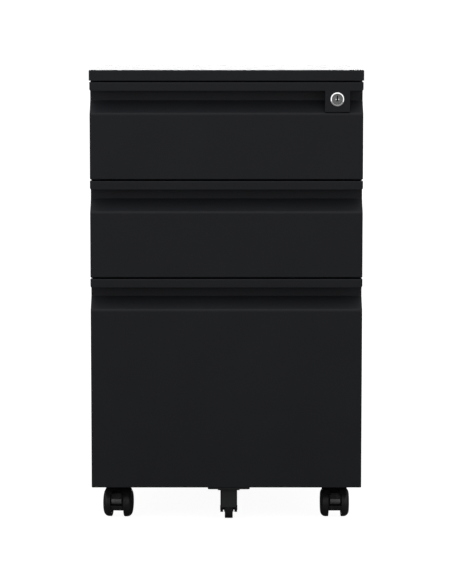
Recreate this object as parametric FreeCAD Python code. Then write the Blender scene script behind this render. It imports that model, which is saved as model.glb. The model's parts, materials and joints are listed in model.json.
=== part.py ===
import FreeCAD, Part
import math
import os

from FreeCAD import Vector

# Rolling pedestal cabinet with three drawers. Millimetres. X to the right, Y to the back,
# Z up, floor at z = 0. "Depth" is measured backwards from the plane of the drawer fronts.

# Whole cabinet
TOP_WIDTH = 360.0
DEPTH = 450.0
HEIGHT = 600.0
LOCK_PROUD = 2.4                     # how far the lock's bezel stands before the fronts
Y_FRONT = LOCK_PROUD - (DEPTH + LOCK_PROUD) / 2

# Sheet metal
SHEET = 1.0
THICK_SHEET = 1.2
BEND = 1.6                           # outer radius of an ordinary bend
WIDE_BEND = 2.0                      # outer radius in the thicker sheets
TIGHT_BEND = 1.1                     # outer radius at the visible edges of the drawer fronts
INNER_BEND = 0.6
FIT = 0.1                            # clearance of a bolted or welded part in its place

# Drawer fronts
FRONT_WIDTH = 358.4
FRONT_GAP = 2.0
TOP_PANEL_HEIGHT = 13.8
BOX_FRONT_HEIGHT = 127.2
FILE_FRONT_HEIGHT = 278.8
LIP_HEIGHT = 12.0                    # band above the pull
RECESS_HEIGHT = 29.2                 # from the lip down to the top of the face
RECESS_WALL = 12.2                   # from the lip down to the crease
RECESS_DEPTH = 20.0
FACE_BEND = 5.0
CREASE_BEND = 2.0
HEM_GAP = 0.6
HEM_HEIGHT = 7.0
LIP_CORNER = 3.5
FRONT_SHELL = RECESS_DEPTH + SHEET

# Case
CASE_HALF = 179.0
SIDE_FRONT = FRONT_SHELL + 1.5       # depth of the side panels' front edge
SIDE_BACK = 448.2
CASE_BOTTOM = 47.8
CASE_TOP = HEIGHT - TOP_PANEL_HEIGHT
SIDE_TOP = HEIGHT - 1.5              # the sides reach up into the top panel
SIDE_RETURN = 14.0                   # inward return at the sides' back edges
BACK_TRIM = 0.2                      # the back panel is this much smaller than its place
UPRIGHT_INNER = 168.0                # x of the uprights' faces that carry the slides
UPRIGHT_OUTER = 177.3
UPRIGHT_WIDTH = 40.0
UPRIGHT_FRONT = SIDE_FRONT + SHEET + FIT
SLIDE_FRONT = 24.0
SLIDE_LENGTH = 400.0
UPRIGHT_REAR = SLIDE_FRONT + SLIDE_LENGTH - UPRIGHT_WIDTH
BASE_BACK = SIDE_BACK - SHEET - 0.3
BASE_FLANGE = 14.0
RAIL_BACK = 44.0
RAIL_DROP = 12.0

# Rivets along the back edges
RIVET_INSET = 7.0
RIVET_FIRST = 80.0
RIVET_PITCH = 120.0
RIVET_COUNT = 5
RIVET_RADIUS = 1.6
RIVET_HEAD = 3.2

# Drawer boxes
BOX_HALF = 155.3
BOX_BACK = 416.0
BOX_SHEET = 1.0
RIM = 2.4
RIM_HEIGHT = 8.0
LINER_GAP = 2.2                      # from the crease down to the inner front panel
FILE_RAIL = (40.0, 392.0)            # depths of the two hanging rails
FILE_RAIL_THICK = 2.0
FILE_RAIL_HEIGHT = 12.0

# Lock, on the top drawer's tongue
LOCK_X = 145.0
LOCK_Z = 561.7
TONGUE_LEFT = 128.9
TONGUE_RIGHT = 161.55
TONGUE_BOTTOM = 545.3
TONGUE_CLEAR = 1.5
BARREL_RADIUS = 8.0
BEZEL_RADIUS = 9.75
BEZEL_CREST = 7.6                    # radius at the crown of the conical rim
PLUG_RADIUS = 6.9
PLUG_PIN = 0.8
PLUG_PIN_X = 1.75
PLUG_BACK = 0.6                      # how far the plug's face stands behind the bezel's
KEYWAY_DEPTH = 20.0
NUT_ACROSS = 11.0                    # centre to corner
NUT_THICK = 4.0
CAM_RADIUS = 8.6
CAM_THICK = 2.5
CAM_DEPTH = 31.0
CRANK = 6.0
CRANK_PIN = 1.5
CRANK_REST = math.radians(225)       # seen from the front, from +X towards +Z
CRANK_STROKE = 2 * CRANK * math.sin(math.radians(45))
BAR_DEPTH = 37.5                     # depth of the middle of the bar's lugs
LUG_THICK = 2.5
LUG_HEIGHT = 5.0
LUG_RISE = 24.0                      # lug's lower edge above the slide's centre line
LUG_TIP = 160.5
ARM_HALF = 5.0
BAR_HALF = 8.0
BAR_INNER = 170.2                    # x of the bar's inner and outer faces
BAR_OUTER = 172.2
BAR_PLAY = 0.5
WINDOW_PLAY = 0.7
PIN_PLAY = 0.4
CATCH_RISE = 30.5
CATCH_TIP = 164.5
CATCH_GAP = 1.75
CATCH_LENGTH = 16.0
CATCH_HEIGHT = 9.0
GUIDE_HEIGHTS = (300.0, 450.0)
GUIDE_HEIGHT = 14.0
GUIDE_THICK = 1.2
GUIDE_FOOT = 3.0

# Slides: outer, intermediate and inner members nested in a 12.7 mm gap
SLIDE_HALF = (22.5, 20.7, 19.1)      # half heights
SLIDE_OUTER_TIP = 157.5              # x of the flanges' edges and of the middle member's web
SLIDE_MIDDLE_WEB = 166.2
SLIDE_MIDDLE_TIP = 158.0
SLIDE_INNER_TIP = 163.0
SLIDE_STAGGER = 2.0

# Casters
LEFT_CASTER_X = -143.8
RIGHT_CASTER_X = 145.2
FRONT_CASTER_DEPTH = 61.0            # of the swivel axis
REAR_CASTER_DEPTH = 389.0
TRAIL = 17.0
WHEEL_RADIUS = 19.5
WHEEL_INNER = 8.5
WHEEL_CORNER = 7.0                   # radius of the rounded outer edge
WHEEL_CORNER_X = 12.1                # x of its centre
WHEEL_EDGE = 0.4
WHEEL_BOSS = 7.0                     # radii of the boss and the rim round the inner recess
WHEEL_RIM = 15.0
WHEEL_RECESS = 1.5
CAP_RADIUS = 8.4                     # raised cap in the shallow dish of the outer face
DISH_RADIUS = 11.0
DISH_DEPTH = 0.5
CAP_THICK = 3.3
HOOD_TOP = 1.1                       # hood's outer face above the tread
HOOD_THICK = 0.8
HOOD_FRONT = 40.0                    # degrees above level, at the front edge of the hood
HOOD_BACK = 188.0
HOOD_RIM = 55.0                      # degrees above level, at the hood's side rims
HUB_HALF = 7.8
HUB_RADIUS = 11.8
CHIN_RADIUS = 18.6                   # solid middle before the hub, below the pedal
CHIN_BOTTOM = 10.6
CHIN_TOP = 17.4
AXLE_RADIUS = 3.0
AXLE_HALF = 15.8
AXLE_FIT = 0.01
STEM_RADIUS = 4.0
STEM_BOTTOM = 16.0
STEM_RISE = 10.0
STEM_NUT = 7.0                       # centre to corner
STEM_NUT_THICK = 5.0
COLLAR_RADIUS = 9.0
COLLAR_BOTTOM = 43.4
BOSS_BOTTOM = 14.0
BOSS_TOP = 43.0
RUNNING = 0.05
LEVER_HALF = 6.75
LEVER_PIVOT = (-26.5, 31.7)          # y and z in the caster's own frame
LEVER_PIN = 1.2
LEVER_ROOM = 7.4
LEVER_TOE = -38.5                    # y of the pedal's tip, before the wheels
CHEEK_THICK = 0.7
# corner: swivel axis' x and depth, swivel angle in degrees, whether it has a brake lever
CASTERS = {
    "front_left": (LEFT_CASTER_X, FRONT_CASTER_DEPTH, -5.5, True),
    "front_right": (RIGHT_CASTER_X, FRONT_CASTER_DEPTH, 0.8, True),
    "rear_left": (LEFT_CASTER_X, REAR_CASTER_DEPTH, 174.0, False),
    "rear_right": (RIGHT_CASTER_X, REAR_CASTER_DEPTH, 188.0, False),
}

# Fifth wheel under the bottom drawer
TIP_X = 3.1
TIP_DEPTH = 28.5                     # of the wheel's axis
TIP_AXLE_Z = 14.6
TIP_RADIUS = 14.0
TIP_WIDTH = 10.7
TIP_DISH_RADIUS = 11.5
TIP_DISH = 1.2
TIP_HUB = 5.5
TIP_HUB_PROUD = 1.0
TIP_FORK_HALF = 11.2
TIP_FORK_BACK = 35.5
TIP_LEG = 3.6                        # thickness of the fork's sheet
TIP_LEG_END = 5.9                    # radius of the legs' rounded ends
TIP_LEG_BEND = 4.2
TIP_WEB_DEPTH = 10.4
TIP_WEB_BOTTOM = 18.5
TIP_PLATE_HALF = 27.9
TIP_PLATE = 2.8
TIP_PLATE_FRONT = 3.0
TIP_PLATE_BACK = 19.5
TIP_PAD_HALF = 14.5
TIP_PAD_FRONT = 8.0
TIP_PAD = 2.2
TIP_HEAD = 3.3
TIP_HEAD_THICK = 0.4

TOP_FRONT_TOP = CASE_TOP - FRONT_GAP
MIDDLE_FRONT_TOP = TOP_FRONT_TOP - BOX_FRONT_HEIGHT - FRONT_GAP
BOTTOM_FRONT_TOP = MIDDLE_FRONT_TOP - BOX_FRONT_HEIGHT - FRONT_GAP
FRONT_BOTTOM = BOTTOM_FRONT_TOP - FILE_FRONT_HEIGHT

# name: front's bottom and top, box's bottom and top, slide's centre line
DRAWERS = {
    "top": (TOP_FRONT_TOP - BOX_FRONT_HEIGHT, TOP_FRONT_TOP, 465.0, 545.0, 490.0),
    "middle": (MIDDLE_FRONT_TOP - BOX_FRONT_HEIGHT, MIDDLE_FRONT_TOP, 336.0, 416.0, 361.0),
    "bottom": (FRONT_BOTTOM, BOTTOM_FRONT_TOP, 66.0, 300.0, 200.0),
}


# ---------------------------------------------------------------- shapes

def block(x0, x1, depth0, depth1, z0, z1):
    corner = Vector(x0, Y_FRONT + depth0, z0)
    return Part.makeBox(x1 - x0, depth1 - depth0, z1 - z0, corner)


def rod_x(radius, x0, x1, depth, z):
    return Part.makeCylinder(radius, x1 - x0, Vector(x0, Y_FRONT + depth, z), Vector(1, 0, 0))


def rod_y(radius, x, z, depth0, depth1):
    return Part.makeCylinder(radius, depth1 - depth0, Vector(x, Y_FRONT + depth0, z), Vector(0, 1, 0))


def rod_z(radius, x, y, z0, z1):
    return Part.makeCylinder(radius, z1 - z0, Vector(x, y, z0), Vector(0, 0, 1))


def mirrored(shape):
    return shape.mirror(Vector(0, 0, 0), Vector(1, 0, 0))


def pair(shape):
    return Part.makeCompound([shape, mirrored(shape)])


def in_depth_z(u, v):
    return Vector(0, Y_FRONT + u, v)


def in_x_depth(u, v):
    return Vector(u, Y_FRONT + v, 0)


def in_x_z(u, v):
    return Vector(u, 0, v)


def polygon(points, to_space, travel):
    corners = [to_space(*p) for p in points]
    wire = Part.makePolygon(corners + corners[:1])
    return Part.Face(wire).extrude(travel)


def hexagon(u, v, corner, to_space, travel):
    """Hexagonal prism about (u, v), reaching "corner" from its centre to its corners."""
    turns = [k * math.pi / 3 for k in range(6)]
    points = [(u + corner * math.cos(a), v + corner * math.sin(a)) for a in turns]
    return polygon(points, to_space, travel)


def sheet_side(points, radii, offset):
    """One face of a bent sheet as lines and arcs; the offset is to the right of travel."""
    flat = [Vector(u, v, 0) for u, v in points]
    runs = [(b - a).normalize() for a, b in zip(flat, flat[1:])]
    right = Vector(runs[0].y, -runs[0].x, 0)
    here = flat[0] + right * offset
    pieces = []
    for corner, radius, before, after in zip(flat[1:-1], radii, runs, runs[1:]):
        cross = before.x * after.y - before.y * after.x
        way = math.copysign(1, cross)
        turn = math.atan2(abs(cross), before.dot(after))
        inward = Vector(-before.y, before.x, 0) * way
        start = corner - before * (radius * math.tan(turn / 2))
        centre = start + inward * radius
        scale = (radius + way * offset) / radius
        end = corner + after * (radius * math.tan(turn / 2))
        middle = centre + (corner - centre).normalize() * radius
        arc = [centre + (p - centre) * scale for p in (start, middle, end)]
        pieces.append([here, arc[0]])
        pieces.append(arc)
        here = arc[2]
    last = Vector(runs[-1].y, -runs[-1].x, 0)
    pieces.append([here, flat[-1] + last * offset])
    return pieces


def bent_sheet(points, radii, thickness, to_space, travel):
    """A sheet bent along points; radii are those of the face it is drawn on, and the
    thickness lies to the right of travel."""
    near = sheet_side(points, radii, 0.0)
    far = sheet_side(points, radii, thickness)
    ends = [[near[-1][-1], far[-1][-1]], [near[0][0], far[0][0]]]
    edges = []
    for piece in near + far + ends:
        where = [to_space(p.x, p.y) for p in piece]
        if len(piece) == 3:
            edges.append(Part.Arc(*where).toShape())
        elif where[0].distanceToPoint(where[1]) > 1e-6:
            edges.append(Part.makeLine(*where))
    wire = Part.Wire(Part.__sortEdges__(edges))
    return Part.Face(wire).extrude(travel)


def rounded(shape, radius, chosen):
    return shape.makeFillet(radius, [e for e in shape.Edges if chosen(e.BoundBox)])


def save(name, shape):
    if not shape.isValid():
        print("NOT VALID:", name)
    shape.exportStep("parts/%s.step" % name)


# ---------------------------------------------------------------- case

def top_panel():
    half = TOP_WIDTH / 2
    back = Y_FRONT + DEPTH
    panel = block(-half, half, 0, DEPTH, CASE_TOP, HEIGHT)
    panel = rounded(panel, 2.0, lambda b: b.ZLength > 1)
    panel = rounded(panel, 1.5, lambda b: b.ZMin > HEIGHT - 0.01)
    room = half - 0.9
    panel = panel.cut(block(-room, room, SHEET, DEPTH - SHEET, CASE_TOP + SHEET, HEIGHT - SHEET))
    return panel.cut(block(-room, room, FRONT_SHELL, DEPTH - SHEET, CASE_TOP - 1, CASE_TOP + 2))


def side_panel():
    """Right-hand side with inward returns at its front and back edges."""
    outline = [(UPRIGHT_INNER - 0.4, SIDE_FRONT), (CASE_HALF, SIDE_FRONT),
               (CASE_HALF, SIDE_BACK), (CASE_HALF - SIDE_RETURN, SIDE_BACK)]
    panel = bent_sheet(outline, [BEND, BEND], -SHEET, in_x_depth, Vector(0, 0, SIDE_TOP - CASE_BOTTOM))
    panel.translate(Vector(0, 0, CASE_BOTTOM))
    return panel


def rivet_places():
    heights = [RIVET_FIRST + step * RIVET_PITCH for step in range(RIVET_COUNT)]
    return [(side * (CASE_HALF - RIVET_INSET), z) for side in (-1, 1) for z in heights]


def rivets():
    made = []
    for x, z in rivet_places():
        shank = rod_y(RIVET_RADIUS, x, z, SIDE_BACK - SHEET - 0.8, SIDE_BACK + SHEET)
        head = rod_y(RIVET_HEAD, x, z, SIDE_BACK + SHEET, DEPTH)
        head = rounded(head, 0.6, lambda b: b.YMin > Y_FRONT + DEPTH - 0.01)
        made.append(head.fuse(shank).removeSplitter())
    return Part.makeCompound(made)


def rivet_holes():
    holes = [rod_y(RIVET_RADIUS + RUNNING, x, z, SIDE_BACK - 4, DEPTH) for x, z in rivet_places()]
    return Part.makeCompound(holes)


def back_panel():
    half = CASE_HALF - BACK_TRIM
    return block(-half, half, SIDE_BACK, SIDE_BACK + SHEET, CASE_BOTTOM, CASE_TOP - BACK_TRIM)


def base_panel():
    """Plate with flanges turned up at its front and back, between the uprights."""
    low = CASE_BOTTOM
    front = UPRIGHT_FRONT
    back = BASE_BACK
    plate = block(-UPRIGHT_OUTER, UPRIGHT_OUTER, front, back, low, low + THICK_SHEET)
    outline = [(front, low + BASE_FLANGE), (front, low), (back, low), (back, low + BASE_FLANGE)]
    half = UPRIGHT_INNER - 1
    pan = bent_sheet(outline, [WIDE_BEND, WIDE_BEND], -THICK_SHEET, in_depth_z, Vector(2 * half, 0, 0))
    pan.translate(Vector(-half, 0, 0))
    trim = block(-half, half, front - 1, front + 3, low - 1, low + THICK_SHEET + 1)
    trim = trim.fuse(block(-half, half, back - 3, back + 1, low - 1, low + THICK_SHEET + 1))
    plate = plate.cut(trim).fuse(pan).removeSplitter()
    for x, depth, _, _ in CASTERS.values():
        plate = plate.cut(rod_z(STEM_RADIUS + FIT, x, Y_FRONT + depth, low - 1, low + 5))
    return plate


def top_rail():
    outline = [(RAIL_BACK, CASE_TOP), (UPRIGHT_FRONT, CASE_TOP), (UPRIGHT_FRONT, CASE_TOP - RAIL_DROP)]
    half = UPRIGHT_INNER - 0.5
    rail = bent_sheet(outline, [WIDE_BEND], -THICK_SHEET, in_depth_z, Vector(2 * half, 0, 0))
    rail.translate(Vector(-half, 0, 0))
    return rail


def upright(front):
    """Right-hand channel, open towards the side panel."""
    back = front + UPRIGHT_WIDTH
    outline = [(UPRIGHT_OUTER, front), (UPRIGHT_INNER, front), (UPRIGHT_INNER, back), (UPRIGHT_OUTER, back)]
    bottom = CASE_BOTTOM + THICK_SHEET
    rise = Vector(0, 0, CASE_TOP - bottom)
    channel = bent_sheet(outline, [WIDE_BEND, WIDE_BEND], THICK_SHEET, in_x_depth, rise)
    channel.translate(Vector(0, 0, bottom))
    return channel


def caster_stems():
    made = []
    for x, depth, _, _ in CASTERS.values():
        y = Y_FRONT + depth
        stem = rod_z(STEM_RADIUS, x, y, STEM_BOTTOM, CASE_BOTTOM + STEM_RISE)
        collar = rod_z(COLLAR_RADIUS, x, y, COLLAR_BOTTOM, CASE_BOTTOM)
        nut = hexagon(x, depth, STEM_NUT, in_x_depth, Vector(0, 0, STEM_NUT_THICK))
        nut.translate(Vector(0, 0, CASE_BOTTOM + THICK_SHEET))
        made.append(stem.fuse([collar, nut]).removeSplitter())
    return Part.makeCompound(made)


# ---------------------------------------------------------------- drawers

def front_levels(z_top):
    lip_bottom = z_top - LIP_HEIGHT
    return lip_bottom, lip_bottom - RECESS_WALL, lip_bottom - RECESS_HEIGHT


def slope(z_top):
    """Rise of the recess's sloping floor per millimetre of depth."""
    _, crease, face_top = front_levels(z_top)
    return (crease - face_top) / RECESS_DEPTH


def front_pan(z_bottom, z_top):
    """Face, sloping recess floor and the flanges folded back round them."""
    _, _, face_top = front_levels(z_top)
    rise = slope(z_top)
    half = FRONT_WIDTH / 2
    drop = SHEET * math.hypot(1, rise)

    def wedge(inset, lower, bend, back, half_width):
        start = face_top - lower + inset * rise
        outline = [(back, z_bottom + inset), (inset, z_bottom + inset), (inset, start),
                   (back, face_top - lower + back * rise)]
        corner_up = Vector(inset, start, 0)
        turn = math.pi / 2 - math.atan(rise)
        reach = bend * math.tan(turn / 2)
        slope_way = Vector(1, rise, 0).normalize()
        low_end = corner_up - Vector(0, reach, 0)
        high_end = corner_up + slope_way * reach
        centre = low_end + Vector(bend, 0, 0)
        crown = centre + (corner_up - centre).normalize() * bend
        curve = [in_depth_z(p.x, p.y) for p in (low_end, crown, high_end)]
        corners = [in_depth_z(*p) for p in outline]
        edges = [Part.makeLine(corners[0], corners[1]), Part.makeLine(corners[1], curve[0]),
                 Part.Arc(*curve).toShape(), Part.makeLine(curve[2], corners[3]),
                 Part.makeLine(corners[3], corners[0])]
        solid = Part.Face(Part.Wire(edges)).extrude(Vector(2 * half_width, 0, 0))
        solid.translate(Vector(-half_width, 0, 0))
        return solid

    outer = wedge(0.0, 0.0, FACE_BEND, FRONT_SHELL, half)
    back_plane = Y_FRONT + FRONT_SHELL

    def folded_edge(b):
        on_side = b.XLength < 0.01 and b.YMin < back_plane - 0.1
        along_bottom = b.XLength > 1 and b.ZMax < z_bottom + 0.01 and b.YMax < back_plane - 0.1
        return on_side or along_bottom

    outer = rounded(outer, TIGHT_BEND, folded_edge)
    inner = wedge(SHEET, drop, FACE_BEND - SHEET, FRONT_SHELL + 2, half - SHEET)
    return outer.cut(inner)


def pull_channel(z_top):
    """Crease, back wall, top flange and hemmed lip, open at both ends."""
    lip_bottom, crease, face_top = front_levels(z_top)
    start = RECESS_DEPTH - 5
    outline = [(start, face_top + start * slope(z_top)), (RECESS_DEPTH, crease),
               (RECESS_DEPTH, z_top - SHEET), (SHEET, z_top - SHEET), (SHEET, lip_bottom + SHEET),
               (SHEET + HEM_GAP, lip_bottom + SHEET), (SHEET + HEM_GAP, lip_bottom + SHEET + HEM_HEIGHT)]
    bends = [CREASE_BEND, INNER_BEND, INNER_BEND, HEM_GAP / 2 - 0.001, HEM_GAP / 2 - 0.001]
    half = FRONT_WIDTH / 2
    channel = bent_sheet(outline, bends, SHEET, in_depth_z, Vector(2 * half, 0, 0))
    channel.translate(Vector(-half, 0, 0))
    x_corner = half - LIP_CORNER
    z_corner = lip_bottom + LIP_CORNER
    for side in (-1, 1):
        ends = sorted((side * x_corner, side * (half + 1)))
        waste = block(ends[0], ends[1], -1, 4, lip_bottom - 1, z_corner)
        waste = waste.cut(rod_y(LIP_CORNER, side * x_corner, z_corner, -2, 5))
        channel = channel.cut(waste)
    return channel


def lock_tongue():
    """Tongue below the top drawer's lip, with sides folded back to the recess wall."""
    _, z_top = DRAWERS["top"][:2]
    lip_bottom, _, face_top = front_levels(z_top)
    outline = [(TONGUE_LEFT, RECESS_DEPTH), (TONGUE_LEFT, 0), (TONGUE_RIGHT, 0),
               (TONGUE_RIGHT, RECESS_DEPTH)]
    height = lip_bottom + 4 - TONGUE_BOTTOM
    tongue = bent_sheet(outline, [TIGHT_BEND, TIGHT_BEND], -SHEET, in_x_depth, Vector(0, 0, height))
    tongue.translate(Vector(0, 0, TONGUE_BOTTOM))
    rise = slope(z_top)
    floor = [(-1, TONGUE_BOTTOM - 2), (-1, face_top + TONGUE_CLEAR - rise),
             (RECESS_DEPTH + 1, face_top + TONGUE_CLEAR + rise * (RECESS_DEPTH + 1)),
             (RECESS_DEPTH + 1, TONGUE_BOTTOM - 2)]
    waste = polygon(floor, in_depth_z, Vector(60, 0, 0))
    waste.translate(Vector(TONGUE_LEFT - 10, 0, 0))
    inset = TIGHT_BEND
    front_plate = block(TONGUE_LEFT + inset, TONGUE_RIGHT - inset, 0, SHEET, TONGUE_BOTTOM, z_top - 3)
    return tongue.cut(waste).fuse(front_plate)


def barrel_hole():
    return rod_y(BARREL_RADIUS + FIT, LOCK_X, LOCK_Z, -1, FRONT_SHELL + 3)


def drawer_front(name):
    z_bottom, z_top = DRAWERS[name][:2]
    front = front_pan(z_bottom, z_top).fuse(pull_channel(z_top))
    if name == "top":
        front = front.fuse(lock_tongue())
        front = front.cut(barrel_hole())
    return front.removeSplitter()


def drawer_liner(name):
    """Inner front panel that closes the back of the folded front."""
    z_bottom, z_top = DRAWERS[name][:2]
    _, crease, _ = front_levels(z_top)
    half = FRONT_WIDTH / 2 - SHEET - 2 * FIT
    top = crease - LINER_GAP - SHEET
    liner = block(-half, half, FRONT_SHELL - SHEET, FRONT_SHELL, z_bottom + SHEET + 2 * FIT, top)
    if name == "top":
        liner = liner.cut(barrel_hole())
    return liner


def drawer_box(name):
    _, _, low, high, _ = DRAWERS[name]
    front = FRONT_SHELL
    box = block(-BOX_HALF, BOX_HALF, front, BOX_BACK, low, high)
    box = rounded(box, WIDE_BEND, lambda b: b.ZMax < low + 0.01)
    t = BOX_SHEET
    box = box.cut(block(-BOX_HALF + t, BOX_HALF - t, front + t, BOX_BACK - t, low + t, high + 1))
    rim = block(-BOX_HALF + t, BOX_HALF - t, front + t, BOX_BACK - t, high - RIM_HEIGHT, high)
    rim = rim.cut(block(-BOX_HALF + RIM, BOX_HALF - RIM, front + RIM, BOX_BACK - RIM, low, high + 1))
    return box.fuse(rim).removeSplitter()


def slide_member(web_x, tip_x, half, z, front, back, thickness):
    """Right-hand C section; its web is at web_x and its flanges reach tip_x."""
    outline = [(tip_x, z + half), (web_x, z + half), (web_x, z - half), (tip_x, z - half)]
    side = thickness if web_x > tip_x else -thickness
    member = bent_sheet(outline, [WIDE_BEND, WIDE_BEND], side, in_x_z, Vector(0, back - front, 0))
    member.translate(Vector(0, Y_FRONT + front, 0))
    return member


def slides(name):
    """Outer, intermediate and inner members of one drawer's two slides."""
    z = DRAWERS[name][4]
    back = SLIDE_FRONT + SLIDE_LENGTH
    high, medium, low = SLIDE_HALF
    outer = slide_member(UPRIGHT_INNER, SLIDE_OUTER_TIP, high, z, SLIDE_FRONT, back, THICK_SHEET)
    middle = slide_member(SLIDE_MIDDLE_WEB, SLIDE_MIDDLE_TIP, medium, z, SLIDE_FRONT + SLIDE_STAGGER,
                          back - SLIDE_STAGGER, SHEET)
    inner = slide_member(BOX_HALF, SLIDE_INNER_TIP, low, z, SLIDE_FRONT, BOX_BACK + 2 * SLIDE_STAGGER,
                         THICK_SHEET)
    return pair(outer), pair(middle), pair(inner)


def lock_catch(name):
    """Angle on the box's right side; the bar's lug rises in front of it."""
    z = DRAWERS[name][4] + CATCH_RISE
    stop = BAR_DEPTH + LUG_THICK / 2 + CATCH_GAP
    outline = [(CATCH_TIP, stop), (BOX_HALF, stop), (BOX_HALF, stop + CATCH_LENGTH)]
    catch = bent_sheet(outline, [WIDE_BEND], THICK_SHEET, in_x_depth, Vector(0, 0, CATCH_HEIGHT))
    catch.translate(Vector(0, 0, z))
    return catch


def file_rails():
    _, _, _, high, _ = DRAWERS["bottom"]
    half = BOX_HALF - RIM - FIT
    rails = [block(-half, half, depth, depth + FILE_RAIL_THICK, high - FILE_RAIL_HEIGHT, high)
             for depth in FILE_RAIL]
    return Part.makeCompound(rails)


# ---------------------------------------------------------------- lock

def lock_barrel():
    body = rod_y(BARREL_RADIUS, LOCK_X, LOCK_Z, 0, CAM_DEPTH - 1)
    skirt = Vector(LOCK_X, Y_FRONT, LOCK_Z)
    bezel = rod_y(BEZEL_RADIUS, LOCK_X, LOCK_Z, -LOCK_PROUD / 2, 0)
    cone = Part.makeCone(BEZEL_RADIUS, BEZEL_CREST, LOCK_PROUD / 2, skirt, Vector(0, -1, 0))
    cone.translate(Vector(0, -LOCK_PROUD / 2, 0))
    bezel = bezel.fuse(cone)
    bore = rod_y(PLUG_RADIUS + RUNNING, LOCK_X, LOCK_Z, -5, CAM_DEPTH)
    return body.fuse(bezel).cut(bore).removeSplitter()


def lock_plug():
    face = PLUG_BACK - LOCK_PROUD
    plug = rod_y(PLUG_RADIUS, LOCK_X, LOCK_Z, face, CAM_DEPTH)
    plug = rounded(plug, 0.4, lambda b: b.YMax < Y_FRONT + face + FIT)
    keyway = block(LOCK_X - 0.7, LOCK_X + 0.7, face - 1, KEYWAY_DEPTH, LOCK_Z - 1.6, LOCK_Z + 5.0)
    ward = block(LOCK_X - 1.2, LOCK_X + 1.2, face - 1, KEYWAY_DEPTH, LOCK_Z - 2.4, LOCK_Z - 1.2)
    pins = [rod_y(PLUG_PIN, LOCK_X + side * PLUG_PIN_X, LOCK_Z, face - 0.3, face + 1) for side in (-1, 1)]
    return plug.cut(keyway.fuse(ward)).fuse(pins).removeSplitter()


def lock_nut():
    nut = hexagon(LOCK_X, LOCK_Z, NUT_ACROSS, in_x_z, Vector(0, NUT_THICK, 0))
    nut.translate(Vector(0, Y_FRONT + FRONT_SHELL, 0))
    return nut.cut(rod_y(BARREL_RADIUS + 0.02, LOCK_X, LOCK_Z, FRONT_SHELL - 1, CAM_DEPTH))


def crank_rest():
    return LOCK_X + CRANK * math.cos(CRANK_REST), LOCK_Z + CRANK * math.sin(CRANK_REST)


def lock_cam():
    x, z = crank_rest()
    disc = rod_y(CAM_RADIUS, LOCK_X, LOCK_Z, CAM_DEPTH, CAM_DEPTH + CAM_THICK)
    return disc.fuse(rod_y(CRANK_PIN, x, z, CAM_DEPTH + CAM_THICK, BAR_DEPTH + 4)).removeSplitter()


def lock_bar():
    """Strip in the right front upright with an arm to the cam and a lug for each drawer."""
    x_pin, z_pin = crank_rest()
    low_lug = DRAWERS["bottom"][4] + LUG_RISE
    strip = block(BAR_INNER, BAR_OUTER, BAR_DEPTH - BAR_HALF, BAR_DEPTH + BAR_HALF, low_lug - 10,
                  z_pin + ARM_HALF)
    near = BAR_DEPTH - LUG_THICK / 2
    far = BAR_DEPTH + LUG_THICK / 2
    arm = block(x_pin - 9, BAR_OUTER, near, far, z_pin - ARM_HALF, z_pin + ARM_HALF)
    reach = CRANK * (1 - math.cos(math.radians(45)))
    high = CRANK_PIN + PIN_PLAY
    ends = (x_pin - reach - PIN_PLAY, x_pin + PIN_PLAY)
    slot = block(ends[0], ends[1], near - 1, far + 1, z_pin - high, z_pin + high)
    for x in ends:
        slot = slot.fuse(rod_y(high, x, z_pin, near - 1, far + 1))
    bar = strip.fuse(arm.cut(slot))
    for drawer in DRAWERS.values():
        z = drawer[4] + LUG_RISE
        bar = bar.fuse(block(LUG_TIP, BAR_OUTER, near, far, z, z + LUG_HEIGHT))
    return bar.removeSplitter()


def lock_slots():
    """Windows in the upright for the lugs and the arm over their whole travel."""
    near = BAR_DEPTH - LUG_THICK / 2 - WINDOW_PLAY
    far = BAR_DEPTH + LUG_THICK / 2 + WINDOW_PLAY
    _, z_pin = crank_rest()
    spans = [(d[4] + LUG_RISE, d[4] + LUG_RISE + LUG_HEIGHT) for d in DRAWERS.values()]
    spans.append((z_pin - ARM_HALF, z_pin + ARM_HALF))
    windows = [block(LUG_TIP, BAR_INNER, near, far, low - 1, high + CRANK_STROKE + 1) for low, high in spans]
    return Part.makeCompound(windows)


def lock_guides():
    """Two straps on the upright that hold the bar and let it slide."""
    web = UPRIGHT_INNER + THICK_SHEET
    front = BAR_DEPTH - BAR_HALF - BAR_PLAY
    back = BAR_DEPTH + BAR_HALF + BAR_PLAY
    outer = BAR_OUTER + BAR_PLAY
    made = []
    for z in GUIDE_HEIGHTS:
        high = z + GUIDE_HEIGHT
        strap = block(web, outer + GUIDE_THICK, front - GUIDE_THICK, back + GUIDE_THICK, z, high)
        room = block(LUG_TIP, outer, front, back, z - 1, high + 1)
        for depth in (front - GUIDE_FOOT, back):
            strap = strap.fuse(block(web, web + THICK_SHEET, depth, depth + GUIDE_FOOT, z, high))
        made.append(strap.cut(room).removeSplitter())
    return Part.makeCompound(made)


# ---------------------------------------------------------------- casters

def across(radius, half, y, z):
    """Cylinder along a caster's own x, centred on it."""
    return Part.makeCylinder(radius, 2 * half, Vector(-half, y, z), Vector(1, 0, 0))


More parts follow.
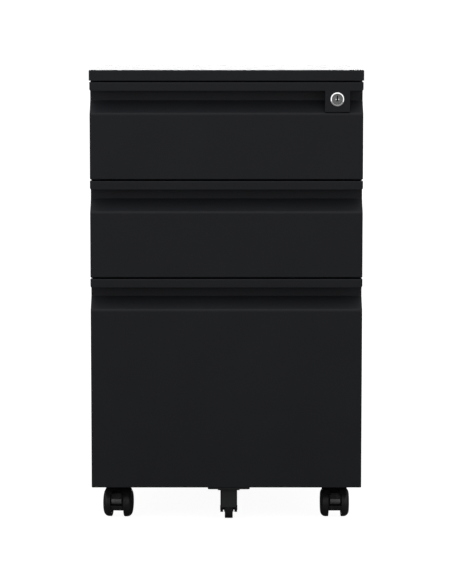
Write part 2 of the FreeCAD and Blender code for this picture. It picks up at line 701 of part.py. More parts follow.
def caster_wheel():
    """Right-hand wheel, turned from its half section: x outwards, radius upwards."""
    inner = WHEEL_INNER
    floor = inner + WHEEL_RECESS
    low = WHEEL_RADIUS - WHEEL_CORNER
    side = WHEEL_CORNER_X + WHEEL_CORNER
    bore = AXLE_RADIUS + RUNNING
    blind = side - CAP_THICK
    half_turn = WHEEL_CORNER * math.sqrt(0.5)
    crown = (WHEEL_CORNER_X + half_turn, low + half_turn)
    inside = [(inner, bore), (inner, WHEEL_BOSS - 1), (floor, WHEEL_BOSS), (floor, WHEEL_RIM),
              (inner, WHEEL_RIM + 1), (inner, WHEEL_RADIUS - WHEEL_EDGE), (inner + WHEEL_EDGE, WHEEL_RADIUS),
              (WHEEL_CORNER_X, WHEEL_RADIUS)]
    outside = [(side, low), (side - DISH_DEPTH, DISH_RADIUS), (side - DISH_DEPTH, CAP_RADIUS),
               (side, CAP_RADIUS - 0.8), (side + 0.2, 0), (blind, 0), (blind, bore), (inner, bore)]
    edges = [Part.Arc(in_x_z(*inside[-1]), in_x_z(*crown), in_x_z(*outside[0])).toShape()]
    for run in (inside, outside):
        edges += [Part.makeLine(in_x_z(*a), in_x_z(*b)) for a, b in zip(run, run[1:])]
    wire = Part.Wire(Part.__sortEdges__(edges))
    wheel = Part.Face(wire).revolve(Vector(0, 0, 0), Vector(1, 0, 0), 360)
    wheel.translate(Vector(0, -TRAIL, WHEEL_RADIUS))
    return wheel


def hood():
    """Fender over both wheels and the solid middle between them, as one sector."""
    low = WHEEL_RADIUS - WHEEL_CORNER
    outer = WHEEL_CORNER + HOOD_TOP
    inner = outer - HOOD_THICK
    rim = math.radians(HOOD_RIM)

    def arc(radius, side):
        turns = (math.pi / 2, (math.pi / 2 + rim) / 2, rim)
        return [in_x_z(side * (WHEEL_CORNER_X + radius * math.cos(a)), low + radius * math.sin(a))
                for a in turns]

    edges = []
    for side in (-1, 1):
        top, crown, tip = arc(outer, side)
        under, bend, tip_in = arc(inner, side)
        root = in_x_z(side * HUB_HALF, under.z)
        foot = in_x_z(side * HUB_HALF, 0)
        edges += [Part.Arc(top, crown, tip).toShape(), Part.makeLine(tip, tip_in),
                  Part.Arc(tip_in, bend, under).toShape(), Part.makeLine(under, root),
                  Part.makeLine(root, foot)]
    high = WHEEL_RADIUS + HOOD_TOP
    edges.append(Part.makeLine(in_x_z(-WHEEL_CORNER_X, high), in_x_z(WHEEL_CORNER_X, high)))
    edges.append(Part.makeLine(in_x_z(-HUB_HALF, 0), in_x_z(HUB_HALF, 0)))
    section = Part.Face(Part.Wire(Part.__sortEdges__(edges)))
    axis = Vector(1, 0, 0)
    # A positive turn about +X tips the upright section forwards: it starts at the hood's
    # front edge and the sweep runs back over the top.
    section.rotate(Vector(0, 0, 0), axis, 90 - HOOD_FRONT)
    sector = section.revolve(Vector(0, 0, 0), axis, HOOD_FRONT - HOOD_BACK)
    sector.translate(Vector(0, -TRAIL, WHEEL_RADIUS))
    return sector


def lever_cheeks():
    """Thin walls at both sides of the lever's opening."""
    made = []
    for side in (-1, 1):
        x = side * (HUB_HALF - CHEEK_THICK / 2)
        cheek = across(WHEEL_RADIUS + 0.2, CHEEK_THICK / 2, -TRAIL, WHEEL_RADIUS)
        cheek.translate(Vector(x, 0, 0))
        keep = Part.makeBox(2, 14, 12, Vector(x - 1, -TRAIL - 16, WHEEL_RADIUS + 4))
        made.append(cheek.common(keep))
    return made


def chin():
    """Flat-bottomed middle of the housing, flush with the wheels' treads."""
    drum = across(CHIN_RADIUS, HUB_HALF, -TRAIL, WHEEL_RADIUS)
    width = 2 * HUB_HALF
    corner = Vector(-HUB_HALF, -TRAIL - WHEEL_RADIUS, CHIN_BOTTOM)
    return drum.common(Part.makeBox(width, WHEEL_RADIUS, CHIN_TOP - CHIN_BOTTOM, corner))


def caster_housing(braked):
    hub = across(HUB_RADIUS, HUB_HALF, -TRAIL, WHEEL_RADIUS)
    boss = rod_z(HUB_HALF, 0, 0, BOSS_BOTTOM, BOSS_TOP)
    housing = hood().fuse([hub, boss, chin()])
    if braked:
        room = across(LEVER_ROOM, LEVER_HALF + 0.25, *LEVER_PIVOT)
        pin = across(LEVER_PIN, HUB_HALF, *LEVER_PIVOT)
        housing = housing.fuse(lever_cheeks()).cut(room).fuse([hub, pin])
    housing = housing.cut(rod_z(STEM_RADIUS + RUNNING, 0, 0, STEM_BOTTOM - 6, BOSS_TOP + 7))
    bore = across(AXLE_RADIUS + AXLE_FIT, 20, -TRAIL, WHEEL_RADIUS)
    return housing.cut(bore).removeSplitter()


def caster_axle():
    return across(AXLE_RADIUS, AXLE_HALF, -TRAIL, WHEEL_RADIUS)


def brake_lever():
    """Foot pedal on a cross pin; its tip stands before the wheels."""
    y, z = LEVER_PIVOT
    toe = LEVER_TOE
    outline = [(toe, 21.6), (toe, 23.4), (toe + 1.1, 26.4), (toe + 2.6, 27.4), (toe + 3.4, 27.3),
               (toe + 7.6, 31.2), (toe + 9.4, 32.8), (y - 1, z + 2.6), (y + 2.4, z + 1.0),
               (y + 1.4, z - 2.2), (y - 3.6, 24.6), (y - 6.5, 22.8), (toe + 1.0, 21.0)]

    def on_left_face(a, b):
        return Vector(-LEVER_HALF, a, b)

    pedal = polygon(outline, on_left_face, Vector(2 * LEVER_HALF, 0, 0))
    pedal = rounded(pedal, 0.5, lambda b: b.XLength > 1 and b.YMax < toe + 1.2 and b.ZMax < 22)
    return pedal.cut(across(LEVER_PIN + RUNNING, 10, y, z))


def placed(shape, corner):
    x, depth, angle, _ = CASTERS[corner]
    shape = shape.copy()
    shape.rotate(Vector(0, 0, 0), Vector(0, 0, 1), angle)
    shape.translate(Vector(x, Y_FRONT + depth, 0))
    return shape


def fifth_wheel_bracket():
    """Plate under the bottom drawer's front, with a fork closed at the front."""
    top = FRONT_BOTTOM
    low = top - TIP_PLATE
    x0 = TIP_X - TIP_FORK_HALF
    x1 = TIP_X + TIP_FORK_HALF
    plate = block(TIP_X - TIP_PLATE_HALF, TIP_X + TIP_PLATE_HALF, TIP_PLATE_FRONT, TIP_PLATE_BACK, low, top)
    plate = rounded(plate, 3.0, lambda b: b.ZLength > 1)
    pad_half = TIP_PAD_HALF
    pad = block(TIP_X - pad_half, TIP_X + pad_half, TIP_PAD_FRONT, TIP_PLATE_BACK, low - TIP_PAD, low)
    outline = [(x0, TIP_FORK_BACK), (x0, TIP_WEB_DEPTH), (x1, TIP_WEB_DEPTH), (x1, TIP_FORK_BACK)]
    bends = [TIP_LEG_BEND, TIP_LEG_BEND]
    fork = bent_sheet(outline, bends, -TIP_LEG, in_x_depth, Vector(0, 0, top - 0.8))
    ends = rod_x(TIP_LEG_END, x0, x1, TIP_DEPTH, TIP_AXLE_Z)
    legs = polygon([(TIP_WEB_DEPTH, TIP_WEB_BOTTOM), (TIP_DEPTH - TIP_LEG_END, TIP_AXLE_Z),
                    (TIP_DEPTH + TIP_LEG_END, TIP_AXLE_Z), (TIP_FORK_BACK, top), (TIP_WEB_DEPTH, top)],
                   in_depth_z, Vector(x1 - x0, 0, 0))
    legs.translate(Vector(x0, 0, 0))
    bracket = plate.fuse([pad, fork.common(legs.fuse(ends))])
    bore = rod_x(AXLE_RADIUS + AXLE_FIT, x0 - 5, x1 + 5, TIP_DEPTH, TIP_AXLE_Z)
    return bracket.cut(bore).removeSplitter()


def fifth_wheel_axle():
    left = TIP_X - TIP_FORK_HALF
    right = TIP_X + TIP_FORK_HALF
    shaft = rod_x(AXLE_RADIUS, left, right, TIP_DEPTH, TIP_AXLE_Z)
    heads = [rod_x(TIP_HEAD, x, x + TIP_HEAD_THICK, TIP_DEPTH, TIP_AXLE_Z)
             for x in (left - TIP_HEAD_THICK, right)]
    return shaft.fuse(heads).removeSplitter()


def fifth_wheel():
    left = TIP_X - TIP_WIDTH / 2
    right = TIP_X + TIP_WIDTH / 2
    wheel = rod_x(TIP_RADIUS, left, right, TIP_DEPTH, TIP_AXLE_Z)
    wheel = rounded(wheel, 1.2, lambda b: b.XLength < 0.1)
    for x in (left, right - TIP_DISH):
        wheel = wheel.cut(rod_x(TIP_DISH_RADIUS, x, x + TIP_DISH, TIP_DEPTH, TIP_AXLE_Z))
    wheel = wheel.fuse(rod_x(TIP_HUB, left - TIP_HUB_PROUD, right + TIP_HUB_PROUD, TIP_DEPTH, TIP_AXLE_Z))
    return wheel.cut(rod_x(AXLE_RADIUS + RUNNING, left - 5, right + 5, TIP_DEPTH, TIP_AXLE_Z))


# ---------------------------------------------------------------- build

def build_case():
    holes = rivet_holes()
    side = side_panel()
    save("top_panel", top_panel())
    save("side_panel_right", side.cut(holes))
    save("side_panel_left", mirrored(side).cut(holes))
    save("back_panel", back_panel().cut(holes))
    save("back_rivets", rivets())
    save("base_panel", base_panel())
    save("top_rail", top_rail())
    front_upright = upright(UPRIGHT_FRONT)
    save("upright_front_left", mirrored(front_upright))
    save("upright_front_right", front_upright.cut(lock_slots()))
    save("uprights_rear", pair(upright(UPRIGHT_REAR)))
    save("caster_stems", caster_stems())


def build_drawers():
    for name in DRAWERS:
        outer, middle, inner = slides(name)
        save("drawer_front_" + name, drawer_front(name))
        save("drawer_liner_" + name, drawer_liner(name))
        save("drawer_box_" + name, drawer_box(name))
        save("slide_outer_" + name, outer)
        save("slide_middle_" + name, middle)
        save("slide_inner_" + name, inner)
        save("lock_catch_" + name, lock_catch(name))
    save("file_rails", file_rails())


def build_lock():
    save("lock_barrel", lock_barrel())
    save("lock_plug", lock_plug())
    save("lock_nut", lock_nut())
    save("lock_cam", lock_cam())
    save("lock_bar", lock_bar())
    save("lock_guides", lock_guides())


def build_casters():
    wheel = caster_wheel()
    for corner, (_, _, _, braked) in CASTERS.items():
        save("caster_housing_" + corner, placed(caster_housing(braked), corner))
        save("caster_axle_" + corner, placed(caster_axle(), corner))
        save("wheel_right_" + corner, placed(wheel, corner))
        save("wheel_left_" + corner, placed(mirrored(wheel), corner))
        if braked:
            save("brake_lever_" + corner, placed(brake_lever(), corner))
    save("fifth_wheel_bracket", fifth_wheel_bracket())
    save("fifth_wheel_axle", fifth_wheel_axle())
    save("fifth_wheel", fifth_wheel())


os.makedirs("parts", exist_ok=True)
build_case()
build_drawers()
build_lock()
build_casters()
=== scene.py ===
import json
import math

import bmesh
import bpy
from mathutils import Matrix, Vector


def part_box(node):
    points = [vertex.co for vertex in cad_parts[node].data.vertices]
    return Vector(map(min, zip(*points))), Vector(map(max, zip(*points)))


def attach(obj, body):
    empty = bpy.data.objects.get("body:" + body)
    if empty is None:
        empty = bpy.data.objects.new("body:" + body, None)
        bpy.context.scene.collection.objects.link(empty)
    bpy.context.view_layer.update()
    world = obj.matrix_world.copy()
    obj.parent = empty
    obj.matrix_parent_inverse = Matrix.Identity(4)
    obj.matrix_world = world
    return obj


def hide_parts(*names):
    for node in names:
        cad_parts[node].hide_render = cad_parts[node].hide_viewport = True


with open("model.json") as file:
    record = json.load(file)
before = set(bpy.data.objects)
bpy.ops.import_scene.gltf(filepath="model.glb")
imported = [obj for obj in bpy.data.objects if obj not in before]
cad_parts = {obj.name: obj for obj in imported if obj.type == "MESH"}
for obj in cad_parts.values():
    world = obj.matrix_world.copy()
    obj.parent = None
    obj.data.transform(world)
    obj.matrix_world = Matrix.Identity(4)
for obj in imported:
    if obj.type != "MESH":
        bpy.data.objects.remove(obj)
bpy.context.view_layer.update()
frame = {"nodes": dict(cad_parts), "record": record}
scene = bpy.context.scene
scene.view_settings.view_transform = "Standard"

# Places are in metres. The small pieces are drawn in millimetres and scaled by MM.
MM = 0.001
FRONT_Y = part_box("drawer_front_bottom")[0].y         # the drawer fronts' plane
JOINTS = {joint["name"]: joint for joint in frame["record"]["behaviour"]["joints"]}


# ---------------------------------------------------------------- camera

CAMERA_DISTANCE = 3.1646             # from the drawer fronts
CAMERA_HEIGHT = 0.6451
CAMERA_PITCH = 6.07                  # degrees below the horizon
CAMERA_REACH = 60
LENS = 148.84
SENSOR = 36.0
CENTRE_SHIFT = 0.00075               # the picture's middle stands a little left of the cabinet's


def make_camera():
    data = bpy.data.cameras.new("camera")
    data.lens = LENS
    data.sensor_width = SENSOR
    data.shift_x = -CENTRE_SHIFT
    data.clip_end = CAMERA_REACH
    camera = bpy.data.objects.new("camera", data)
    camera.location = (0, FRONT_Y - CAMERA_DISTANCE, CAMERA_HEIGHT)
    camera.rotation_euler = (math.radians(90 - CAMERA_PITCH), 0, 0)
    scene.collection.objects.link(camera)
    scene.camera = camera


make_camera()


# ---------------------------------------------------------------- materials

class Nodes:
    """A material's node tree with short calls for the nodes used here."""

    def __init__(self, name):
        self.material = bpy.data.materials.new(name)
        self.material.use_nodes = True
        self.tree = self.material.node_tree
        self.shader = self.tree.nodes["Principled BSDF"]
        self.place = self.tree.nodes.new("ShaderNodeTexCoord").outputs["Object"]

    def link(self, source, target):
        self.tree.links.new(source, target)

    def set(self, **values):
        """Constants of the shader; an underscore stands for a blank in a socket's name."""
        for name, value in values.items():
            self.shader.inputs[name.replace("_", " ")].default_value = value

    def feed(self, **sources):
        """Links into the shader, named as in set."""
        for name, source in sources.items():
            self.link(source, self.shader.inputs[name.replace("_", " ")])

    def noise(self, scale, detail, stretch=None):
        node = self.tree.nodes.new("ShaderNodeTexNoise")
        node.inputs["Scale"].default_value = scale
        node.inputs["Detail"].default_value = detail
        node.inputs["Roughness"].default_value = 0.5
        place = self.place
        if stretch is not None:
            mapping = self.tree.nodes.new("ShaderNodeMapping")
            mapping.inputs["Scale"].default_value = stretch
            self.link(place, mapping.inputs["Vector"])
            place = mapping.outputs["Vector"]
        self.link(place, node.inputs["Vector"])
        return node.outputs["Fac"]

    def spread(self, source, low, high):
        """Carries the range in which a noise mostly lies to low and high."""
        node = self.tree.nodes.new("ShaderNodeMapRange")
        node.inputs["From Min"].default_value = 0.3
        node.inputs["From Max"].default_value = 0.7
        node.inputs["To Min"].default_value = low
        node.inputs["To Max"].default_value = high
        self.link(source, node.inputs["Value"])
        return node.outputs["Result"]

    def colours(self, source, low, high):
        node = self.tree.nodes.new("ShaderNodeMix")
        node.data_type = "RGBA"
        node.inputs["A"].default_value = (*low, 1)
        node.inputs["B"].default_value = (*high, 1)
        self.link(self.spread(source, 0, 1), node.inputs["Factor"])
        return node.outputs["Result"]

    def bump(self, height, distance, strength, below=None):
        node = self.tree.nodes.new("ShaderNodeBump")
        node.inputs["Distance"].default_value = distance
        node.inputs["Strength"].default_value = strength
        self.link(height, node.inputs["Height"])
        if below is not None:
            self.link(below, node.inputs["Normal"])
        return node.outputs["Normal"]


def powder_coat(name, low, high, level):
    """Satin powder coat: orange peel about a millimetre across over a finer grain."""
    n = Nodes(name)
    n.set(Specular_IOR_Level=level)
    n.feed(Base_Color=n.colours(n.noise(scale=14, detail=3), low, high))
    n.feed(Roughness=n.spread(n.noise(scale=40, detail=4), 0.38, 0.42))
    peel = n.bump(n.noise(scale=800, detail=2), distance=0.00006, strength=0.5)
    n.feed(Normal=n.bump(n.noise(scale=3500, detail=2), distance=0.00002, strength=0.6, below=peel))
    return n.material


def zinc(name, low, high, rough_low, rough_high):
    """Zinc plate with faint rolling lines along the cabinet's depth."""
    n = Nodes(name)
    n.set(Metallic=1.0)
    n.feed(Base_Color=n.colours(n.noise(scale=25, detail=3), low, high))
    lines = n.noise(scale=1800, detail=2, stretch=(1, 0.008, 1))
    n.feed(Roughness=n.spread(lines, rough_low, rough_high))
    n.feed(Normal=n.bump(lines, distance=0.000004, strength=0.4))
    return n.material


def chrome(name):
    n = Nodes(name)
    n.set(Metallic=1.0)
    n.feed(Base_Color=n.colours(n.noise(scale=300, detail=2), (0.78, 0.78, 0.79), (0.86, 0.86, 0.86)))
    n.feed(Roughness=n.spread(n.noise(scale=2000, detail=3), 0.06, 0.14))
    return n.material


def blasted_nickel(name):
    n = Nodes(name)
    n.set(Metallic=1.0)
    n.feed(Base_Color=n.colours(n.noise(scale=2500, detail=3), (0.12, 0.125, 0.122), (0.26, 0.265, 0.26)))
    n.feed(Roughness=n.spread(n.noise(scale=1500, detail=2), 0.38, 0.55))
    n.feed(Normal=n.bump(n.noise(scale=4000, detail=2), distance=0.00003, strength=0.6))
    return n.material


def nylon(name, low, high, rough_low, rough_high, level):
    """Moulded nylon with a fine spark texture."""
    n = Nodes(name)
    n.set(Specular_IOR_Level=level)
    n.feed(Base_Color=n.colours(n.noise(scale=150, detail=3), low, high))
    n.feed(Roughness=n.spread(n.noise(scale=500, detail=3), rough_low, rough_high))
    n.feed(Normal=n.bump(n.noise(scale=3000, detail=2), distance=0.00002, strength=0.5))
    return n.material


# by material slot
FINISH = {
    "black_powder_coat": powder_coat("black_powder_coat", (0.0106, 0.0112, 0.0132),
                                     (0.0116, 0.0123, 0.0144), level=0.13),
    "zinc_steel": zinc("zinc_steel", (0.58, 0.59, 0.61), (0.64, 0.64, 0.65), 0.26, 0.36),
    "black_zinc": zinc("black_zinc", (0.02, 0.02, 0.022), (0.04, 0.04, 0.042), 0.30, 0.45),
    "chrome": chrome("chrome"),
    "lock_plug_nickel": blasted_nickel("lock_plug_nickel"),
    "black_nylon": nylon("black_nylon", (0.0090, 0.0090, 0.0094), (0.0125, 0.0125, 0.013),
                         0.36, 0.48, level=0.19),
}
# Painted light: the brake pedals get a lighter, glossier copy of the black nylon so that they show as lit;
# they are the same black nylon as the rest of the casters
PEDAL_NYLON_PAINTED_LIT = nylon("pedal_nylon_painted_lit", (0.024, 0.024, 0.025), (0.034, 0.034, 0.035), 0.24, 0.34, level=0.5)
# by node, for the nodes that look different from the rest of their slot
OWN_FINISH = {
    "back_rivets": powder_coat("rivet_paint", (0.012, 0.0125, 0.0145), (0.018, 0.0185, 0.021), level=0.5),
    "fifth_wheel_bracket": powder_coat("bracket_paint", (0.0155, 0.0165, 0.0165),
                                       (0.0175, 0.0185, 0.0185), level=0.2),
}


def finish_cad_nodes():
    for part in frame["record"]["subparts"]:
        mesh = frame["nodes"][part["node"]].data
        mesh.materials.clear()
        mesh.materials.append(OWN_FINISH.get(part["node"], FINISH[part["material_slot"]]))


finish_cad_nodes()


# ---------------------------------------------------------------- mesh helpers

SMOOTH_BELOW = 35                    # degrees between faces
BEVEL_ABOVE = 30
BEVEL_SEGMENTS = 3


def turned(bm, profile, origin, axis, segments=96):
    """Lathe work: profile holds (radius, distance along the axis) pairs, in millimetres."""
    turn = Vector(axis).to_track_quat("Z", "Y").to_matrix()
    rings = []
    for radius, along in profile:
        steps = segments if radius > 0 else 1
        angles = [2 * math.pi * k / segments for k in range(steps)]
        spots = [Vector((radius * math.cos(a), radius * math.sin(a), along)) * MM for a in angles]
        rings.append([bm.verts.new(Vector(origin) + turn @ spot) for spot in spots])
    for low, high in zip(rings, rings[1:]):
        for k in range(segments):
            corners = [low[k % len(low)], low[(k + 1) % len(low)]]
            corners += [high[(k + 1) % len(high)], high[k % len(high)]]
            bm.faces.new([c for i, c in enumerate(corners) if c not in corners[:i]])


def prism(bm, outline, half, place):
    """Outline in (y, z) millimetres, carried from -half to half along the local x."""
    sides = [[bm.verts.new(place @ (Vector((x, y, z)) * MM)) for y, z in outline] for x in (-half, half)]
    left, right = sides
    bm.faces.new(left[::-1])
    bm.faces.new(right)
    for k in range(len(outline)):
        after = (k + 1) % len(outline)
        bm.faces.new((left[k], left[after], right[after], right[k]))


def mesh_object(name, bm):
    bmesh.ops.recalc_face_normals(bm, faces=bm.faces)
    mesh = bpy.data.meshes.new(name)
    bm.to_mesh(mesh)
    bm.free()
    made = bpy.data.objects.new(name, mesh)
    scene.collection.objects.link(made)
    return made


def applied(made):
    """Puts the object's modifiers into its mesh."""
    graph = bpy.context.evaluated_depsgraph_get()
    mesh = bpy.data.meshes.new_from_object(made.evaluated_get(graph))
    made.modifiers.clear()
    made.data = mesh


def bevelled(made, width):
    bevel = made.modifiers.new("bevel", "BEVEL")
    bevel.width = width * MM
    bevel.segments = BEVEL_SEGMENTS
    bevel.angle_limit = math.radians(BEVEL_ABOVE)
    applied(made)


def drilled(made, cutter):
    cut = made.modifiers.new("cut", "BOOLEAN")
    cut.operation = "DIFFERENCE"
    cut.solver = "EXACT"
    cut.use_self = True
    cut.object = cutter
    applied(made)
    bpy.data.objects.remove(cutter)


def dressed(made, body, slot, material=None, instead_of=()):
    made.data.materials.clear()
    made.data.materials.append(material or FINISH[slot])
    made.data.shade_smooth()
    made.data.set_sharp_from_angle(angle=math.radians(SMOOTH_BELOW))
    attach(made, body)
    if instead_of:
        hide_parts(*instead_of)


def joint_place(joint):
    """The joint's own frame: its axis is x, up is z."""
    across = Vector(joint["axis"]).normalized()
    up = Vector((0, 0, 1))
    back = up.cross(across)
    columns = Matrix((across, back, up)).transposed().to_4x4()
    return Matrix.Translation(joint["pos_m"]) @ columns


# ---------------------------------------------------------------- lock
# Turned profiles run along the depth, from the fronts' plane backwards.

DEPTH_AXIS = (0, 1, 0)
BARREL_RADIUS = 8.0
BARREL_BORE = 6.98
BARREL_BACK = 29.9
BARREL_CHAMFER = 0.4
THREAD_START = 1.1
THREAD_END = 29.0
THREAD_PITCH = 1.0
THREAD_DEPTH = 0.35
RIM_BACK = -0.02                     # just clear of the tongue
# from the bore over the crest and down the cone to the tongue
RIM = [(BARREL_BORE, -1.6), (7.05, -2.0), (7.25, -2.3), (7.55, -2.38), (7.9, -2.3), (8.8, -1.72),
       (9.15, -1.4), (9.4, -0.95), (9.48, -0.5), (9.48, RIM_BACK)]
PLUG_RADIUS = 6.93
PLUG_FACE = -1.8
PLUG_BACK = 30.9
PLUG_BEVEL_WIDTH = 0.23
PLUG_BEVEL_DEPTH = 0.22
GROOVE_INNER = 5.55                  # radii of the ring groove in the plug's face
GROOVE_OUTER = 6.05
GROOVE_DEPTH = 0.14
GROOVE_SLOPE = 0.1
KEY_SLOT_DEPTH = 18.0
# (x, z) from the plug's axis: a narrow slot with a wider foot
KEY_SLOT = [(-0.75, 4.9), (-0.75, -1.2), (-1.3, -1.2), (-1.3, -2.5), (1.3, -2.5), (1.3, -1.2), (0.75, -1.2),
            (0.75, 4.9)]
GLINT_DOME_ASIDE = 1.75                     # of the two chrome domes in the plug's face: painted highlights, standing in for the light caught by the key slot's chamfered edges
GLINT_DOME_BELOW = 0.1
GLINT_DOME_PROFILE = [(0, -0.38), (0.3, -0.36), (0.55, -0.27), (0.75, -0.1), (0.8, 0.2)]


def lock_origin():
    x, _, z = JOINTS["lock_plug"]["pos_m"]
    return Vector((x, FRONT_Y, z))


def make_bezel():
    """Barrel with a conical polished rim before the tongue and thread ridges behind it."""
    thread = [(BARREL_RADIUS, RIM_BACK), (BARREL_RADIUS, THREAD_START)]
    for ridge in range(int((THREAD_END - THREAD_START) / THREAD_PITCH)):
        along = THREAD_START + ridge * THREAD_PITCH
        thread += [(BARREL_RADIUS - THREAD_DEPTH, along + THREAD_PITCH / 2),
                   (BARREL_RADIUS, along + THREAD_PITCH)]
    end = [(BARREL_RADIUS - BARREL_CHAMFER, BARREL_BACK), (BARREL_BORE, BARREL_BACK)]
    bm = bmesh.new()
    turned(bm, [(BARREL_BORE, BARREL_BACK)] + RIM + thread + end, lock_origin(), DEPTH_AXIS)
    bmesh.ops.remove_doubles(bm, verts=bm.verts, dist=1e-7)
    dressed(mesh_object("lock_bezel", bm), "drawer_top", "chrome", instead_of=["lock_barrel"])


def make_plug():
    """Plug with a ring groove in its face and a key slot, and a chrome dome at both sides of the slot as a
    painted highlight of the slot's chamfered edges.
    """
    floor = PLUG_FACE + GROOVE_DEPTH
    profile = [(0, PLUG_FACE), (GROOVE_INNER, PLUG_FACE), (GROOVE_INNER + GROOVE_SLOPE, floor),
               (GROOVE_OUTER - GROOVE_SLOPE, floor), (GROOVE_OUTER, PLUG_FACE),
               (PLUG_RADIUS - PLUG_BEVEL_WIDTH, PLUG_FACE), (PLUG_RADIUS, PLUG_FACE + PLUG_BEVEL_DEPTH),
               (PLUG_RADIUS, PLUG_BACK), (0, PLUG_BACK)]
    bm = bmesh.new()
    turned(bm, profile, lock_origin(), DEPTH_AXIS)
    plug = mesh_object("lock_plug_face", bm)
    swap = Matrix(((0, 1, 0), (1, 0, 0), (0, 0, 1))).to_4x4()    # the prism then runs along the depth
    cutter = bmesh.new()
    prism(cutter, KEY_SLOT, KEY_SLOT_DEPTH, Matrix.Translation(lock_origin()) @ swap)
    drilled(plug, mesh_object("key_slot", cutter))
    dressed(plug, "lock_plug", "lock_plug_nickel", instead_of=["lock_plug"])
    # painted highlight: two chrome domes stand where the key slot's edges catch the light
    glint_domes = bmesh.new()
    for x in (-GLINT_DOME_ASIDE, GLINT_DOME_ASIDE):
        spot = lock_origin() + Vector((x, PLUG_FACE, -GLINT_DOME_BELOW)) * MM
        turned(glint_domes, GLINT_DOME_PROFILE, spot, DEPTH_AXIS, segments=24)
    dressed(mesh_object("lock_plug_glint_domes", glint_domes), "lock_plug", "chrome")


# ---------------------------------------------------------------- casters' brake pedals

PEDAL_HALF = 6.7
PEDAL_EDGE = 0.45
PIN_HOLE = 1.25                      # radius
# (y, z) from the pedal's pin, from the underside of the toe round over the top
PEDAL = [(-11.0, -11.2), (-12.0, -10.6), (-12.0, -7.6), (-10.9, -4.6), (-9.4, -3.6), (-8.6, -3.7),
         (-4.8, -0.4), (-3.0, 1.2), (-1.6, 1.9), (2.2, 0.8), (1.4, -2.2), (-3.6, -7.1), (-6.5, -9.1)]


def make_pedal(corner):
    joint = JOINTS["brake_" + corner]
    bm = bmesh.new()
    prism(bm, PEDAL, PEDAL_HALF, joint_place(joint))
    pedal = mesh_object("brake_pedal_" + corner, bm)
    bevelled(pedal, PEDAL_EDGE)
    past = PEDAL_HALF + 1
    bore = [(0, -past), (PIN_HOLE, -past), (PIN_HOLE, past), (0, past)]
    hole = bmesh.new()
    turned(hole, bore, joint["pos_m"], joint["axis"], segments=48)
    drilled(pedal, mesh_object("pin_hole", hole))
    node = "brake_lever_" + corner
    # the pedal takes the lighter copy of the black nylon, painted light
    dressed(pedal, node, "black_nylon", PEDAL_NYLON_PAINTED_LIT, instead_of=[node])


# ---------------------------------------------------------------- screws of the drawer slides

SCREW_DEPTHS = (75, 165, 290, 380)   # millimetres behind the fronts
SCREW_HEAD = [(0, 1.3), (0.9, 1.3), (1.8, 1.15), (2.6, 0.85), (3.1, 0.45), (3.25, 0.0), (3.25, -0.1)]
RECESS_HALF_DEPTH = 0.7
RECESS_HALF_LENGTH = 1.7
RECESS_HALF_WIDTH = 0.3
RECESS_MIDDLE = 1.4                  # above the web
INNER_SLIDE_DEPTH = 6.5              # from the flanges' edges to the outside of the web


def make_slide_screws(name):
    """Pan heads that hold the inner members to the drawer box, with cross recesses."""
    low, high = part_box("slide_inner_" + name)
    web = high.x - INNER_SLIDE_DEPTH * MM
    level = (low.z + high.z) / 2
    length, width = RECESS_HALF_LENGTH, RECESS_HALF_WIDTH
    bm = bmesh.new()
    cutter = bmesh.new()
    for side in (-1, 1):
        for depth in SCREW_DEPTHS:
            spot = Vector((side * web, FRONT_Y + depth * MM, level))
            turned(bm, SCREW_HEAD, spot, (side, 0, 0), segments=32)
            place = Matrix.Translation(spot + Vector((side * RECESS_MIDDLE, 0, 0)) * MM)
            for u, v in ((length, width), (width, length)):
                prism(cutter, [(-u, -v), (u, -v), (u, v), (-u, v)], RECESS_HALF_DEPTH, place)
    screws = mesh_object("slide_screws_" + name, bm)
    drilled(screws, mesh_object("cross_recesses", cutter))
    dressed(screws, "drawer_" + name, "zinc_steel")


make_bezel()
make_plug()
for corner_name in ("front_left", "front_right"):
    make_pedal(corner_name)
for drawer_name in ("top", "middle", "bottom"):
    make_slide_screws(drawer_name)


# ---------------------------------------------------------------- studio

FLOOR_WIDTH = 3.0
FLOOR_FRONT = -5.0
FLOOR_BACK = 40.0
FLOOR_ROWS = 46                      # of vertices, along the depth
FLOOR_DROP = 0.0004                  # below the wheels
FLOOR_GREY = (0.20, 0.22)            # what the floor gives back to the cabinet
FLOOR_WHITE = 0.95                   # how far the camera sees the floor whitened

# Strengths of the tent's walls, as the cabinet sees them
CEILING = 1.2
BEHIND = 8.0                         # low strip behind the cabinet
FRONT = 0.72
WINGS = 1.0                          # added at both ends of the front wall
SIDES = 0.12                         # everything else
CAMERA_WHITE = 1.05                  # the whole tent, as the camera sees it
# Where each wall starts and where it is full, as components of the direction looked in
CEILING_FROM_Z = (0.1, 0.6)
BEHIND_FROM_Y = (0.95, 0.99)
BEHIND_BELOW_Z = (0.35, 0.2)
FRONT_FROM_Y = (-0.2, -0.6)
WINGS_FROM_Y = (-0.3, -0.5)
WINGS_FROM_X = (0.35, 0.55)          # to the left and to the right

OVERHEAD_PLACE = (0, -1.6, 2.8)
OVERHEAD_TARGET = (0, -0.2, 0.4)
OVERHEAD_SIZE = (2.4, 1.6)
OVERHEAD_POWER = 6


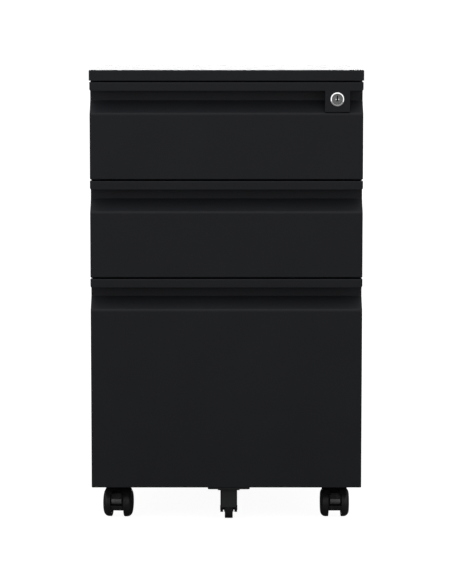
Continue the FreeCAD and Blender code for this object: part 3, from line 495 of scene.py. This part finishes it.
def make_floor():
    step = (FLOOR_BACK - FLOOR_FRONT) / (FLOOR_ROWS - 1)
    rows = [FLOOR_FRONT + row * step for row in range(FLOOR_ROWS)]
    vertices = [(side * FLOOR_WIDTH / 2, y, -FLOOR_DROP) for y in rows for side in (-1, 1)]
    faces = [(2 * row, 2 * row + 1, 2 * row + 3, 2 * row + 2) for row in range(FLOOR_ROWS - 1)]
    mesh = bpy.data.meshes.new("studio_floor")
    mesh.from_pydata(vertices, [], faces)
    floor = bpy.data.objects.new("studio_floor", mesh)
    scene.collection.objects.link(floor)
    n = Nodes("studio_floor")
    n.set(Roughness=0.95, Specular_IOR_Level=0.0, Emission_Color=(1, 1, 1, 1))
    low, high = FLOOR_GREY
    n.feed(Base_Color=n.colours(n.noise(scale=3, detail=2), (low, low, low), (high, high, high)))
    whiten = n.tree.nodes.new("ShaderNodeMath")
    whiten.operation = "MULTIPLY"
    whiten.inputs[1].default_value = FLOOR_WHITE
    n.link(n.tree.nodes.new("ShaderNodeLightPath").outputs["Is Camera Ray"], whiten.inputs[0])
    n.feed(Emission_Strength=whiten.outputs["Value"])
    mesh.materials.append(n.material)


def make_overhead_light():
    data = bpy.data.lights.new("overhead", "AREA")
    data.shape = "RECTANGLE"
    data.size, data.size_y = OVERHEAD_SIZE
    data.energy = OVERHEAD_POWER
    light = bpy.data.objects.new("overhead", data)
    light.location = OVERHEAD_PLACE
    way = Vector(OVERHEAD_TARGET) - Vector(OVERHEAD_PLACE)
    light.rotation_euler = way.to_track_quat("-Z", "Y").to_euler()
    scene.collection.objects.link(light)


def make_world():
    """A white tent: bright ceiling, bright walls in front and behind, dark flags at both sides."""
    world = bpy.data.worlds.new("studio")
    scene.world = world
    world.use_nodes = True
    tree = world.node_tree

    def node(kind, **settings):
        made = tree.nodes.new(kind)
        for name, value in settings.items():
            setattr(made, name, value)
        return made

    def band(source, limits, strength=1.0):
        made = node("ShaderNodeMapRange", interpolation_type="SMOOTHSTEP")
        start, full = limits
        made.inputs["From Min"].default_value = start
        made.inputs["From Max"].default_value = full
        made.inputs["To Min"].default_value = 0
        made.inputs["To Max"].default_value = strength
        tree.links.new(source, made.inputs["Value"])
        return made.outputs["Result"]

    def joined(operation, a, b):
        made = node("ShaderNodeMath", operation=operation)
        tree.links.new(a, made.inputs[0])
        tree.links.new(b, made.inputs[1])
        return made.outputs["Value"]

    way = node("ShaderNodeSeparateXYZ")
    tree.links.new(node("ShaderNodeTexCoord").outputs["Generated"], way.inputs["Vector"])
    x, y, z = (way.outputs[name] for name in "XYZ")
    aside = node("ShaderNodeMath", operation="ABSOLUTE")
    tree.links.new(x, aside.inputs[0])
    ceiling = band(z, CEILING_FROM_Z, CEILING - SIDES)
    behind = joined("MULTIPLY", band(y, BEHIND_FROM_Y, BEHIND - SIDES), band(z, BEHIND_BELOW_Z))
    front = band(y, FRONT_FROM_Y, FRONT - SIDES)
    wings = joined("MULTIPLY", band(y, WINGS_FROM_Y), band(aside.outputs["Value"], WINGS_FROM_X, WINGS))
    walls = joined("MAXIMUM", behind, joined("ADD", front, wings))
    tent = node("ShaderNodeMath", operation="ADD")
    tent.inputs[1].default_value = SIDES
    tree.links.new(joined("MAXIMUM", ceiling, walls), tent.inputs[0])
    seen = node("ShaderNodeMix", data_type="FLOAT")
    seen.inputs["B"].default_value = CAMERA_WHITE
    tree.links.new(node("ShaderNodeLightPath").outputs["Is Camera Ray"], seen.inputs["Factor"])
    tree.links.new(tent.outputs["Value"], seen.inputs["A"])
    background = tree.nodes["Background"]
    background.inputs["Color"].default_value = (1, 1, 1, 1)
    tree.links.new(seen.outputs["Result"], background.inputs["Strength"])


make_floor()
make_world()
make_overhead_light()
